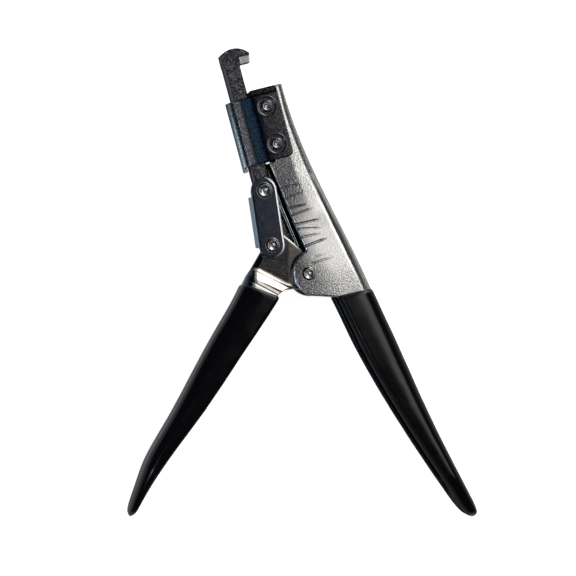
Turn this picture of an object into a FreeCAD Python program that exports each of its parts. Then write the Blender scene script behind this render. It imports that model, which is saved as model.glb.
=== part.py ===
import FreeCAD, Part
import math
import os

from FreeCAD import Vector

# Hand nibbling pliers, millimetres.
# The tool lies flat. x and y are the plane of the tool, z points up out of it.
# x = 0, y = 0 is the axis of the main pivot. z = 0 is the face that the tool rests on.
# Every shape is built about the mid-plane and lifted by MID_PLANE when it is saved.

# ---- driving dimensions --------------------------------------------------------------
MID_PLANE = 7.4            # half of the overall thickness

BAR_TILT = 15.3            # degrees that the punch bar leans to the left of +y
UPPER_PIN = Vector(-17.7, 32.9, 0)     # punch bar to link
LOWER_PIN = Vector(-14.4, 11.3, 0)     # lever to link

HANDLE_SHEET = 1.5         # sheet of the two handle channels
HANDLE_HALF = 5.8          # half width across the outside of a handle channel
NECK_HALF = 3.0            # half width of the lever where it enters the frame
COAT = 1.6                 # vinyl on the outside of a handle
LINING = 0.8               # vinyl on the inside of a handle
TIP_TAPER = 2.8            # how much a grip's half thickness falls at its tip
TIP_SHARES = {0: 1.0, 1: 0.45}         # share of that fall at the last two stations

# Along the bar is measured up from the upper pin, across it from the pin to the right.
BAR_LEFT = -2.65
BAR_RIGHT = 4.05
BAR_HALF_THICK = 3.0
BAR_CHAMFER = 0.7
BAR_FOOT = 2.9             # radius of its lower end about the upper pin
FOOT_RISE = 4.0            # where the foot has widened to the bar
HOOK_CORNER = 55.6         # the hook's left corner, below its rounded top
HOOK_TOP = 57.3
HOOK_CREST = 2.6           # across the bar, where the top is highest
HOOK_REACH = 9.1
HOOK_SLOPE = 0.7           # how far the hook's end leans in at its tooth
TOOTH_LOW = 50.4
TOOTH_TOP = 53.7
TOOTH_HALF = 2.15
TOOTH_FILLET = 0.4         # of the pocket beside the tooth, from the bar's right face

GUIDE_SHEET = 1.3
GUIDE_LOW = 10.6
GUIDE_TOP = 36.9
GUIDE_WEB = -3.65          # inside of the strap's web, across the bar
GUIDE_BEND = 1.5           # inside radius of the bend round the bar
GUIDE_KNEE = 4.5           # across the bar, where the strap starts to step outward
GUIDE_STEP = 1.6           # width of that step
KNEE_LAG = 0.74            # the step's inner line starts this much later
GUIDE_EDGE = 15.0
GUIDE_CORNER = 1.8          # round lower corner of its flats
GUIDE_RUN = 0.1            # running clearance of the bar in its guide
TONGUE_DROP = 2.0          # the web reaches this far below the strap
TONGUE_HALF = 2.2
RIVET_ACROSS = 9.3
RIVETS_ALONG = (31.8, 16.5)
DIE_LOW = 12.0
DIE_TOP = 39.3
DIE_FACE = 4.6             # its face toward the bar
DIE_STEP = 6.5             # from here on the block is as wide as the frame's inside
SLOT_END = 9.7             # end of the slot that takes the tooth
CHUTE_END = 7.6            # end of the passage for the cut-out pieces
SLOT_RUN = 0.15            # clearance beside the tooth
WALL_TOP = 37.0
WALL_LOW = 10.0
WALL_FACE = 7.5            # the frame's walls start here, across the bar
WALL_FACE_LOW = 4.6        # and here below the guide

LINK_SHEET = 1.3
LINK_RADIUS = 5.2
LINK_BACK = 3.7             # its back plate has smaller ends
LINK_BEND = 1.2
LINK_GAP = 0.15            # between the link and what it straddles
LINK_WEB_BELOW = 0.4       # the web runs from here below the lower pin
LINK_WEB_ABOVE = 1.8       # to here below the upper pin

MAIN_SHANK = 2.4
BUSH_RADIUS = 3.4
LOWER_SHANK = 1.6
UPPER_SHANK = 1.4
UPPER_HOLE = 2.35          # wide, because the linkage is opened at this pivot
GUIDE_SHANK = 2.0
SHAFT_RUN = 0.05           # radial clearance of a shaft in its hole

BOSS_CENTRE = Vector(3.3, 0.5, 0)
BOSS_RADIUS = 9.5
BOSS_START = Vector(-0.9, 9.03, 0)
NECK_RADIUS = 6.8
NOSE_RADIUS = 3.4          # about the lower pin, inside the link's web
NOSE_TIP = Vector(-11.9, 17.4, 0)
NOSE_LEFT = -17.9          # the nose's two plates reach from here
NOSE_LOW = 3.0
NOSE_RUN = 0.2             # clearance round the sleeve on the lower pin

# The back wall reaches further left than the front one, behind the link.
BACK_WALL = [(-9.0, 31.0), (-10.4, 27.0), (-10.4, 14.5), (-7.5, 8.0), (-2.0, 6.0), (1.0, 12.0),
             (-5.0, 31.0)]
BACK_SHEET = 1.2           # of that part, which passes behind the link

# Edge of the frame's walls inside its grip: boss end, arc, and the end of the steel.
FRAME_WALL_START = Vector(12.6, -9.4, 0)
FRAME_WALL_MIDDLE = Vector(31.3, -42.6, 0)
FRAME_WALL_END = Vector(61.0, -88.0, 0)
FRAME_END = Vector(72.0, -82.0, 0)
FRAME_OUTSIDE = Vector(34.0, 20.0, 0)  # beyond the spine, so the spine bounds the wall

# Edge of the lever's walls inside its grip, and round its joggle.
LEVER_OUTSIDE = (Vector(-34.0, 8.0, 0), Vector(-78.0, -80.0, 0))
LEVER_END = (Vector(-69.0, -88.0, 0), Vector(-64.6, -82.6, 0))
LEVER_WALL = (Vector(-34.5, -41.0, 0), Vector(-13.2, -9.7, 0))
LEVER_THROAT = (Vector(-9.6, -6.7, 0), Vector(-6.4, -6.1, 0))
NECK_TOP = Vector(-17.6, 9.9, 0)       # top of the neck's spine
JOGGLE_START = Vector(-22.4, 1.6, 0)   # the lever widens from here to its handle
JOGGLE_WAY = Vector(0.916, -0.4015, 0)
NECK_BEND = 2.6
HANDLE_BEND = 4.2

HEAD_BEND = 2.6            # bend radius of the frame's spine at the head
FRAME_BEND = 4.6           # and along the handle
BEND_GROWTH = 0.35         # share of the spine over which it grows
SPINE_STATIONS = 12

THROUGH = 9.0              # a cut reaches this far each side of the mid-plane
BEYOND = 24.0              # across the bar, outside the frame
FIT_GAP = 0.05             # between inner pieces and the frame's walls

# Spun heads: a pip in a bowl, a crown, a groove, and a rolled flange.
PIP_RADIUS = 0.45
PIP_DROP = 0.35            # of the pip below the crown
BOWL_START = 0.75
BOWL_DEPTH = 0.65
CROWN_INSIDE = 0.4         # the bowl ends this far inside the crown's edge
CROWN_ROUND = 0.15
GROOVE_RISE = 0.15         # bottom of the groove above the seat
FLANGE_ROUND = 0.15
FLANGE_TOP = 0.5
RIM = 0.45                 # width of the flange's rolled rim
LOW_HEAD = 1.55            # height of the heads on the link
MAIN_FLANGE, MAIN_CROWN = 2.9, 2.1
MAIN_BACK = 3.0            # radius of the flat head on the back
BACK_CHAMFER = 0.4
LOWER_FLANGE, LOWER_CROWN = 3.0, 2.1
UPPER_FLANGE, UPPER_CROWN = 3.3, 2.4
HEAD_GAP = 0.1             # between the link's plate and a head

# Guide rivets: (radius, depth below the face) from the middle of the dimple outward.
GUIDE_HEAD = [(0, 0.7), (0.5, 0.7), (1.6, 0.05), (1.85, 0), (2.3, 0), (2.7, 0.25), (3.6, 0.25),
              (3.9, 0), (4.15, 0), (4.3, 0.1)]
WASHER_RADIUS = 6.3
WASHER_RUN = 0.02
SLEEVE_RADIUS = 2.9

WIRE = 0.4                 # radius of the spring's wire
COIL_RADIUS = 4.35
COIL_TURNS = 2
COIL_HALF = 1.0
COIL_START = -95.0         # degrees round the pivot where both legs leave the coil
LEVER_FOOT = (-21.9, -2.2)
FRAME_FOOT = (23.0, -3.4)

# Outer line of each folded spine, from the head to the end of the steel.
FRAME_SPINE = [(-11.1, 78.2), (-5.7, 61.2), (3.9, 39.5), (15.4, 17.6), (26.0, -3.6),
               (36.1, -26.2), (51.4, -58.8), (70.4, -95.5)]
LEVER_SPINE = [(-24.0, -0.9), (-28.4, -10.0), (-37.5, -26.9), (-54.7, -58.3),
               (-63.6, -74.4), (-68.6, -88.0)]

# The vinyl: outer and inner line of each grip, from its mouth to its tip.
FRAME_GRIP = [((23.2, 2.4), (6.5, 0.2)), ((29.4, -10.5), (12.4, -10.2)),
              ((37.2, -26.7), (20.8, -26.9)), ((52.5, -59.3), (40.4, -59.9)),
              ((61.0, -75.8), (51.6, -76.6)), ((67.9, -88.4), (60.3, -89.1)),
              ((71.9, -96.2), (65.2, -95.9)), ((73.0, -99.7), (68.9, -99.9))]
LEVER_GRIP = [((-22.2, 4.5), (-5.8, 0.6)), ((-29.2, -10.4), (-12.1, -10.4)),
              ((-38.5, -26.3), (-22.6, -26.1)), ((-55.7, -57.8), (-44.1, -57.2)),
              ((-64.5, -73.3), (-55.8, -72.6)), ((-68.9, -84.9), (-63.5, -84.2)),
              ((-71.1, -91.6), (-67.2, -91.0)), ((-71.8, -95.0), (-69.4, -95.2))]

FRAME_MOUTH = (Vector(8.0, -9.3, 0), Vector(27.4, -5.0, 0))
LEVER_MOUTH = (Vector(-26.0, -3.4, 0), Vector(-10.0, -9.1, 0))
FRAME_GRIP_BEND = 5.4      # radius of a grip's two spine corners
LEVER_GRIP_BEND = 5.0
LIP_ROUND = 1.7            # radius of its two corners on the open side
GROOVE_BEND = 2.0


# ---- helpers -------------------------------------------------------------------------
def flat(point):
    return Vector(point[0], point[1], 0)


def along_bar(along, across, z=0.0):
    """A point given from the upper pin, along and across the punch bar."""
    tilt = math.radians(BAR_TILT)
    x = UPPER_PIN.x - along * math.sin(tilt) + across * math.cos(tilt)
    y = UPPER_PIN.y + along * math.cos(tilt) + across * math.sin(tilt)
    return Vector(x, y, z)


def around(centre, radius, degrees):
    angle = math.radians(degrees)
    return centre + Vector(radius * math.cos(angle), radius * math.sin(angle), 0)


def outline(start, *steps):
    """A closed face. A step is a point for a line, or (through, end) for an arc."""
    edges = []
    here = start
    for step in steps + (start,):
        if isinstance(step, tuple):
            edges.append(Part.Arc(here, step[0], step[1]).toShape())
            here = step[1]
        elif here.distanceToPoint(step) > 1e-6:
            edges.append(Part.LineSegment(here, step).toShape())
            here = step
    return Part.Face(Part.Wire(edges))


def slab(face, low, high):
    """A face in the mid-plane, extruded from one height to another."""
    body = face.copy()
    body.translate(Vector(0, 0, low))
    return body.extrude(Vector(0, 0, high - low))


def both_sides(face, low, high):
    return slab(face, low, high).fuse(slab(face, -high, -low))


def rod(centre, radius, low, high):
    return Part.makeCylinder(radius, high - low, Vector(centre.x, centre.y, low))


def ring(centre, outer, inner, low, high):
    return rod(centre, outer, low, high).cut(rod(centre, inner, low - 1, high + 1))


def bar_block(along, across, half):
    """A block given by its two ranges along and across the punch bar."""
    corners = [along_bar(along[0], across[0]), along_bar(along[0], across[1]),
               along_bar(along[1], across[1]), along_bar(along[1], across[0])]
    return slab(outline(*corners), -half, half)


def turned(profile, centre):
    """A solid turned about a line through the centre, from (radius, z) corners."""
    points = [Vector(r, 0, z) for r, z in profile]
    face = Part.Face(Part.makePolygon(points + [points[0]]))
    body = face.revolve(Vector(0, 0, 0), Vector(0, 0, 1), 360)
    body.translate(Vector(centre.x, centre.y, 0))
    return body


def flipped(body):
    """The same solid seen from the other side of the mid-plane."""
    return body.mirror(Vector(0, 0, 0), Vector(0, 0, 1))


def section(spine, inward, reach, half, radius):
    """A cross-section with its two spine corners rounded, across to a square edge."""
    far = spine + inward * reach
    bend = inward * radius
    slant = radius * (1 - math.sqrt(0.5))
    top = Vector(0, 0, half)
    high = Vector(0, 0, half - radius)
    mid_high = spine + inward * slant + Vector(0, 0, half - slant)
    mid_low = spine + inward * slant - Vector(0, 0, half - slant)
    return Part.Wire([
        Part.LineSegment(far + top, spine + bend + top).toShape(),
        Part.Arc(spine + bend + top, mid_high, spine + high).toShape(),
        Part.LineSegment(spine + high, spine - high).toShape(),
        Part.Arc(spine - high, mid_low, spine + bend - top).toShape(),
        Part.LineSegment(spine + bend - top, far - top).toShape(),
        Part.LineSegment(far - top, far + top).toShape()])


def grip_section(spine, edge, half, spine_radius, edge_radius):
    """A closed cross-section of a grip: both sides rounded, the spine side more."""
    inward = (edge - spine).normalize()
    wire = []
    corners = [(edge, -1, edge_radius, 1), (spine, 1, spine_radius, 1),
               (spine, 1, spine_radius, -1), (edge, -1, edge_radius, -1)]
    points = []
    for base, way, radius, side in corners:
        slant = radius * (1 - math.sqrt(0.5))
        flat_end = base + inward * (way * radius) + Vector(0, 0, side * half)
        middle = base + inward * (way * slant) + Vector(0, 0, side * (half - slant))
        side_end = base + Vector(0, 0, side * (half - radius))
        points.append((flat_end, middle, side_end))
    front_edge, front_spine, back_spine, back_edge = points
    wire.append(Part.LineSegment(front_edge[0], front_spine[0]).toShape())
    wire.append(Part.Arc(*front_spine).toShape())
    wire.append(Part.LineSegment(front_spine[2], back_spine[2]).toShape())
    wire.append(Part.Arc(back_spine[2], back_spine[1], back_spine[0]).toShape())
    wire.append(Part.LineSegment(back_spine[0], back_edge[0]).toShape())
    wire.append(Part.Arc(*back_edge).toShape())
    wire.append(Part.LineSegment(back_edge[2], front_edge[2]).toShape())
    wire.append(Part.Arc(front_edge[2], front_edge[1], front_edge[0]).toShape())
    return Part.Wire(wire)


def loft(wires, ruled=False):
    return Part.makeLoft(wires, True, ruled)


# ---- frame ---------------------------------------------------------------------------
def frame_stations():
    """Points down the frame's spine, the way inward, and the bend radius at each."""
    curve = Part.BSplineCurve()
    curve.interpolate([flat(p) for p in FRAME_SPINE])
    first, last = curve.FirstParameter, curve.LastParameter
    stations = []
    for i in range(SPINE_STATIONS + 1):
        share = i / SPINE_STATIONS
        where = first + (last - first) * share
        direction = curve.tangent(where)[0]
        radius = HEAD_BEND + (FRAME_BEND - HEAD_BEND) * min(1.0, share / BEND_GROWTH)
        stations.append((curve.value(where), Vector(direction.y, -direction.x, 0), radius))
    return stations


def frame_outline():
    """The frame from the side: seat for the guide, boss, and edge inside the grip."""
    return outline(
        along_bar(DIE_TOP, BEYOND), along_bar(DIE_TOP, GUIDE_EDGE),
        along_bar(WALL_TOP, GUIDE_EDGE), along_bar(WALL_TOP, WALL_FACE),
        along_bar(WALL_LOW, WALL_FACE), along_bar(WALL_LOW, WALL_FACE_LOW),
        BOSS_START,
        (around(BOSS_CENTRE, BOSS_RADIUS, 190), around(BOSS_CENTRE, BOSS_RADIUS, 278)),
        FRAME_WALL_START, (FRAME_WALL_MIDDLE, FRAME_WALL_END), FRAME_END, FRAME_OUTSIDE)


def channel_solid(stations, side, half, reach=34.0):
    """A folded channel: rounded spine, two walls, open on the other side."""
    outer = loft([section(p, way, reach, half, r) for p, way, r in stations])
    t = HANDLE_SHEET
    inner = loft([section(p + way * t, way, reach, half - t, r - t)
                  for p, way, r in stations])
    return outer.common(slab(side, -half - 1, half + 1)).cut(inner)


def body_channel():
    body = channel_solid(frame_stations(), frame_outline(), HANDLE_HALF)
    behind = outline(*[flat(point) for point in BACK_WALL])
    body = body.fuse(slab(behind, -HANDLE_HALF, BACK_SHEET - HANDLE_HALF)).removeSplitter()
    body = body.cut(rod(Vector(0, 0, 0), MAIN_SHANK, -THROUGH, THROUGH))
    for place in guide_rivet_places():
        body = body.cut(rod(place, GUIDE_SHANK, -THROUGH, THROUGH))
    return body


def guide_rivet_places():
    return [along_bar(along, RIVET_ACROSS) for along in RIVETS_ALONG]


def die_block():
    """Hard block between the frame's walls. Its head takes the punch."""
    inner_half = HANDLE_HALF - HANDLE_SHEET - FIT_GAP
    body = bar_block((DIE_LOW, WALL_TOP), (DIE_STEP, GUIDE_EDGE), inner_half)
    neck = bar_block((DIE_LOW, WALL_TOP), (DIE_FACE, DIE_STEP + 0.5), BAR_HALF_THICK)
    head = bar_block((WALL_TOP, DIE_TOP), (DIE_FACE, GUIDE_EDGE - 0.1), HANDLE_HALF)
    body = body.fuse(neck).fuse(head)
    slot = TOOTH_HALF + SLOT_RUN
    mouth = bar_block((WALL_TOP - 1, DIE_TOP + 1), (DIE_FACE - 1, SLOT_END), slot)
    chute = bar_block((DIE_LOW - 1, WALL_TOP), (DIE_FACE - 1, CHUTE_END), slot)
    body = body.cut(mouth).cut(chute)
    for place in guide_rivet_places():
        body = body.cut(rod(place, GUIDE_SHANK, -THROUGH, THROUGH))
    return body.removeSplitter()


def guide_strap():
    """U-shaped strap round the punch bar, with its two flats on the frame's walls."""
    low = BAR_HALF_THICK + GUIDE_RUN
    seat = HANDLE_HALF
    web, bend = GUIDE_WEB, GUIDE_BEND
    out = bend + GUIDE_SHEET
    middle = (web + bend, low - bend)
    slant = math.sqrt(0.5)
    knee = GUIDE_KNEE + KNEE_LAG

    def at(across, z):
        return along_bar(GUIDE_LOW, across, z)

    half = outline(
        at(web - GUIDE_SHEET, 0), at(web - GUIDE_SHEET, middle[1]),
        (at(middle[0] - out * slant, middle[1] + out * slant), at(middle[0], low + GUIDE_SHEET)),
        at(GUIDE_KNEE, low + GUIDE_SHEET), at(GUIDE_KNEE + GUIDE_STEP, seat + GUIDE_SHEET),
        at(GUIDE_EDGE, seat + GUIDE_SHEET), at(GUIDE_EDGE, seat), at(knee + GUIDE_STEP, seat),
        at(knee, low), at(middle[0], low),
        (at(middle[0] - bend * slant, middle[1] + bend * slant), at(web, middle[1])),
        at(web, 0))
    length = along_bar(GUIDE_TOP, 0) - along_bar(GUIDE_LOW, 0)
    half = half.extrude(length)
    tongue = bar_block((GUIDE_LOW - TONGUE_DROP, GUIDE_LOW + 1), (web - GUIDE_SHEET, web), TONGUE_HALF)
    body = half.fuse(flipped(half)).fuse(tongue).cut(guide_corner()).removeSplitter()
    for place in guide_rivet_places():
        body = body.cut(rod(place, GUIDE_SHANK, -THROUGH, THROUGH))
    return body


def guide_corner():
    """What is taken off to round the lower corner of the strap's flats."""
    r = GUIDE_CORNER
    centre = (GUIDE_LOW + r, GUIDE_EDGE - r)
    slant = r * math.sqrt(0.5)
    corner = outline(
        along_bar(GUIDE_LOW, centre[1]), along_bar(GUIDE_LOW - 1, centre[1]),
        along_bar(GUIDE_LOW - 1, GUIDE_EDGE + 1), along_bar(centre[0], GUIDE_EDGE + 1),
        along_bar(centre[0], GUIDE_EDGE),
        (along_bar(centre[0] - slant, centre[1] + slant), along_bar(GUIDE_LOW, centre[1])))
    return slab(corner, -THROUGH, THROUGH)


def guide_rivet(place):
    """Low rivet with a wide flange and a dimple, the same at both ends."""
    seat = HANDLE_HALF + GUIDE_SHEET
    profile = [(0, 0)] + [(radius, MID_PLANE - depth) for radius, depth in GUIDE_HEAD]
    profile += [(GUIDE_HEAD[-1][0], seat), (GUIDE_SHANK, seat), (GUIDE_SHANK, 0)]
    head = turned(profile, place)
    return head.fuse(flipped(head)).removeSplitter()


def spun_head(place, seat, top, flange, crown, shank):
    """Half of a riveted pin: pip, bowl, crown, groove, flange and shank."""
    rim = seat + FLANGE_TOP
    profile = [(0, 0), (0, top - PIP_DROP), (PIP_RADIUS, top - PIP_DROP),
               (BOWL_START, top - BOWL_DEPTH), (crown - CROWN_INSIDE, top),
               (crown - CROWN_ROUND, top), (crown, top - CROWN_ROUND),
               (crown + GROOVE_RISE, seat + GROOVE_RISE), (flange - RIM, rim),
               (flange - FLANGE_ROUND, rim), (flange, rim - FLANGE_ROUND),
               (flange, seat), (shank, seat), (shank, 0)]
    return turned(profile, place)


def main_pivot_rivet():
    centre = Vector(0, 0, 0)
    front = spun_head(centre, HANDLE_HALF, MID_PLANE, MAIN_FLANGE, MAIN_CROWN, MAIN_SHANK)
    edge = MAIN_BACK - BACK_CHAMFER
    back = turned([(0, 0), (0, MID_PLANE), (edge, MID_PLANE), (MAIN_BACK, MID_PLANE - BACK_CHAMFER),
                   (MAIN_BACK, HANDLE_HALF), (MAIN_SHANK, HANDLE_HALF), (MAIN_SHANK, 0)], centre)
    return front.fuse(flipped(back)).removeSplitter()


def pivot_bush():
    reach = HANDLE_HALF - HANDLE_SHEET - FIT_GAP
    return ring(Vector(0, 0, 0), BUSH_RADIUS, MAIN_SHANK, -reach, reach)


def thrust_washer():
    """Front washer between the lever's neck and the frame's wall."""
    low = NECK_HALF + HEAD_GAP
    high = HANDLE_HALF - HANDLE_SHEET - FIT_GAP
    return ring(Vector(0, 0, 0), WASHER_RADIUS, BUSH_RADIUS + WASHER_RUN, low, high)


def return_spring():
    """Torsion spring: coil round the bush, one leg against each folded spine."""
    pitch = 2 * COIL_HALF / COIL_TURNS
    coil = Part.makeHelix(pitch, 2 * COIL_HALF, COIL_RADIUS)
    coil.translate(Vector(0, 0, -COIL_HALF))
    coil.rotate(Vector(0, 0, 0), Vector(0, 0, 1), COIL_START)
    first = around(Vector(0, 0, 0), COIL_RADIUS, COIL_START) - Vector(0, 0, COIL_HALF)
    last = first + Vector(0, 0, 2 * COIL_HALF)
    away = first.cross(Vector(0, 0, 1))
    away.z = pitch / (2 * math.pi) * -1
    circle = Part.Wire(Part.Circle(first, away, WIRE).toShape())
    body = Part.Wire(coil.Edges).makePipeShell([circle], True, True)
    for end, foot in ((first, LEVER_FOOT), (last, FRAME_FOOT)):
        reach = flat(foot) + Vector(0, 0, end.z) - end
        body = body.fuse(Part.makeSphere(WIRE, end))
        body = body.fuse(Part.makeCylinder(WIRE, reach.Length, end, reach))
    return body.removeSplitter()


# ---- lever ---------------------------------------------------------------------------
def lever_stations():
    """Neck, joggle and handle: spine point, way inward, half width, bend radius."""
    down = (flat(LEVER_SPINE[0]) - NECK_TOP).normalize()
    across = Vector(-down.y, down.x, 0)
    stations = [(NECK_TOP - down * 12, across, NECK_HALF, NECK_BEND),
                (JOGGLE_START, JOGGLE_WAY, NECK_HALF, NECK_BEND),
                (flat(LEVER_SPINE[0]), JOGGLE_WAY, HANDLE_HALF, HANDLE_BEND)]
    for i in range(1, len(LEVER_SPINE)):
        ahead = LEVER_SPINE[min(i + 1, len(LEVER_SPINE) - 1)]
        run = (flat(ahead) - flat(LEVER_SPINE[i - 1])).normalize()
        inward = Vector(-run.y, run.x, 0)
        stations.append((flat(LEVER_SPINE[i]), inward, HANDLE_HALF, HANDLE_BEND))
    return stations


def lever_outline():
    """The lever from the side: boss round the pivot, nose at the link, long handle."""
    pivot = Vector(0, 0, 0)
    return outline(
        around(pivot, NECK_RADIUS, 53), NOSE_TIP, around(LOWER_PIN, NOSE_RADIUS, 128),
        (around(LOWER_PIN, NOSE_RADIUS, 166), around(LOWER_PIN, NOSE_RADIUS, 203)),
        *LEVER_OUTSIDE, *LEVER_END, LEVER_WALL, LEVER_THROAT,
        around(pivot, NECK_RADIUS, 240),
        (around(pivot, NECK_RADIUS, -33), around(pivot, NECK_RADIUS, 53)))


def lever_shell(stations, inset):
    wires = []
    for spine, way, half, radius in stations:
        wires.append(section(spine + way * inset, way, 40.0, half - inset, radius - inset))
    return loft(wires, True)


def lever_channel():
    side = lever_outline()
    body = lever_shell(lever_stations(), 0).common(slab(side, -THROUGH, THROUGH))
    body = body.cut(lever_shell(lever_stations(), HANDLE_SHEET))
    # The nose has no spine: two plates reach round the lower pin.
    inside = NECK_HALF - HANDLE_SHEET
    body = body.cut(rod(LOWER_PIN, NOSE_RADIUS + NOSE_RUN, -inside, inside))
    nose = side.common(Part.makePlane(18, 18, Vector(NOSE_LEFT, NOSE_LOW, 0)))
    body = body.fuse(both_sides(nose, inside, NECK_HALF)).removeSplitter()
    body = body.cut(rod(LOWER_PIN, LOWER_SHANK, -THROUGH, THROUGH))
    return body.cut(rod(Vector(0, 0, 0), BUSH_RADIUS + SHAFT_RUN, -THROUGH, THROUGH))


def link_rivet_lower():
    seat = NECK_HALF + LINK_GAP + LINK_SHEET + HEAD_GAP
    top = seat + LOW_HEAD
    head = spun_head(LOWER_PIN, seat, top, LOWER_FLANGE, LOWER_CROWN, LOWER_SHANK)
    return head.fuse(flipped(head)).removeSplitter()


def nose_spacer():
    """Sleeve on the lower pin, which keeps the lever's two plates apart."""
    reach = NECK_HALF - HANDLE_SHEET
    return ring(LOWER_PIN, SLEEVE_RADIUS, LOWER_SHANK, -reach, reach)


# ---- punch ---------------------------------------------------------------------------
def punch_bar():
    """Square bar with a round foot at the upper pin and a hooked head with a tooth."""
    side = outline(
        along_bar(0, -BAR_FOOT), along_bar(FOOT_RISE, BAR_LEFT), along_bar(HOOK_CORNER, BAR_LEFT),
        (along_bar(HOOK_TOP, HOOK_CREST), along_bar(TOOTH_TOP + 0.3, HOOK_REACH)),
        along_bar(TOOTH_LOW, HOOK_REACH - HOOK_SLOPE), along_bar(TOOTH_LOW, BAR_RIGHT),
        along_bar(FOOT_RISE, BAR_RIGHT), along_bar(0, BAR_FOOT),
        (along_bar(-BAR_FOOT, 0), along_bar(0, -BAR_FOOT)))
    head = bar_block((TOOTH_LOW, HOOK_TOP + 1), (BAR_LEFT - 1, HOOK_REACH + 1), BAR_HALF_THICK)
    body = slab(side, -BAR_HALF_THICK, BAR_HALF_THICK).common(chamfered_shaft().fuse(head))
    pocket = bar_block((TOOTH_LOW - 1, TOOTH_TOP), (BAR_RIGHT + TOOTH_FILLET, HOOK_REACH + 1), 9)
    tooth = bar_block((TOOTH_LOW - 1, TOOTH_TOP), (0, HOOK_REACH + 1), TOOTH_HALF)
    body = body.cut(pocket.cut(tooth))
    return body.cut(rod(UPPER_PIN, UPPER_SHANK, -THROUGH, THROUGH)).removeSplitter()


def chamfered_shaft():
    """The bar below its hook, with its four long edges taken off."""
    left, right, thick, cut = BAR_LEFT, BAR_RIGHT, BAR_HALF_THICK, BAR_CHAMFER
    corners = [(right, thick - cut), (right - cut, thick), (left + cut, thick),
               (left, thick - cut), (left, cut - thick), (left + cut, -thick),
               (right - cut, -thick), (right, cut - thick)]
    points = [along_bar(-5, across, z) for across, z in corners]
    face = Part.Face(Part.makePolygon(points + [points[0]]))
    return face.extrude(along_bar(TOOTH_LOW, 0) - along_bar(-5, 0))


def link_rivet_upper():
    seat = NECK_HALF + LINK_GAP + LINK_SHEET + HEAD_GAP
    top = seat + LOW_HEAD
    head = spun_head(UPPER_PIN, seat, top, UPPER_FLANGE, UPPER_CROWN, UPPER_SHANK)
    return head.fuse(flipped(head)).removeSplitter()


# ---- link ----------------------------------------------------------------------------
def link_stirrup():
    """Two plates joined by a web on the side away from the frame."""
    axis = (UPPER_PIN - LOWER_PIN).normalize()
    left = Vector(-axis.y, axis.x, 0)
    low = NECK_HALF + LINK_GAP
    front = link_plate(axis, left, LINK_RADIUS)
    back = link_plate(axis, left, LINK_BACK)
    foot = LOWER_PIN - axis * LINK_WEB_BELOW
    rise = UPPER_PIN - axis * LINK_WEB_ABOVE - foot
    beside_web = slab(outline(foot, foot + left * 9, foot + left * 9 + rise, foot + rise), -THROUGH, THROUGH)
    half = link_fold(foot, left, low).extrude(rise)
    body = slab(front, low, low + LINK_SHEET).fuse(slab(back, -low - LINK_SHEET, -low)).cut(beside_web)
    body = body.fuse(half).fuse(flipped(half)).removeSplitter()
    body = body.cut(rod(UPPER_PIN, UPPER_HOLE, -THROUGH, THROUGH))
    return body.cut(rod(LOWER_PIN, LOWER_SHANK + SHAFT_RUN, -THROUGH, THROUGH))


def link_plate(axis, left, radius):
    """A plate with a round end about each pin."""
    return outline(
        UPPER_PIN + left * radius, (UPPER_PIN + axis * radius, UPPER_PIN - left * radius),
        LOWER_PIN - left * radius, (LOWER_PIN - axis * radius, LOWER_PIN + left * radius))


def link_fold(foot, left, low):
    """Half of the link's U section: one plate, its bend, and half of the web."""
    high = low + LINK_SHEET
    inside = LINK_RADIUS - LINK_SHEET
    bend = LINK_BEND
    near = bend * (1 - math.sqrt(0.5))

    def at(across, z):
        return foot + left * across + Vector(0, 0, z)

    return outline(
        at(0, low), at(0, high), at(LINK_RADIUS - bend, high),
        (at(LINK_RADIUS - near, high - near), at(LINK_RADIUS, high - bend)),
        at(LINK_RADIUS, 0), at(inside, 0), at(inside, low))


# ---- grips ---------------------------------------------------------------------------
def grip(stations, steel, mouth, bend):
    """Dipped vinyl round a handle: closed tip, groove along the open side."""
    outer = []
    hollow = []
    inset = COAT + HANDLE_SHEET + LINING
    groove = HANDLE_HALF - HANDLE_SHEET - LINING
    for spine, edge in stations:
        spine, edge = flat(spine), flat(edge)
        width = (edge - spine).Length
        inward = (edge - spine).normalize()
        to_tip = len(stations) - 1 - len(outer)
        half = MID_PLANE - TIP_TAPER * TIP_SHARES.get(to_tip, 0)
        lip = min(LIP_ROUND, width / 3)
        outer.append(grip_section(spine, edge, half, min(bend, width / 2), lip))
        hollow.append(section(spine + inward * inset, inward, 30, groove, GROOVE_BEND))
    groove_solid = loft(hollow[:-3], True)
    return loft(outer).common(mouth).cut(groove_solid).cut(steel)


def below_mouth(first, second):
    """The space on the tip's side of a straight mouth, given by its two ends."""
    along = (second - first).normalize() * 60
    down = Vector(along.y, -along.x, 0) * 3
    return slab(outline(first - along, second + along, second + along + down,
                        first - along + down), -MID_PLANE, MID_PLANE)


def body_grip(steel):
    return grip(FRAME_GRIP, steel, below_mouth(*FRAME_MOUTH), FRAME_GRIP_BEND)


def lever_grip(steel):
    return grip(LEVER_GRIP, steel, below_mouth(*LEVER_MOUTH), LEVER_GRIP_BEND)


# ---- build ---------------------------------------------------------------------------
def save(name, shape):
    lifted = shape.copy()
    lifted.translate(Vector(0, 0, MID_PLANE))
    lifted.exportStep("parts/" + name + ".step")
    print("%-22s solids %d valid %s volume %.1f" % (name, len(lifted.Solids),
                                                    lifted.isValid(), lifted.Volume))


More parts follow.
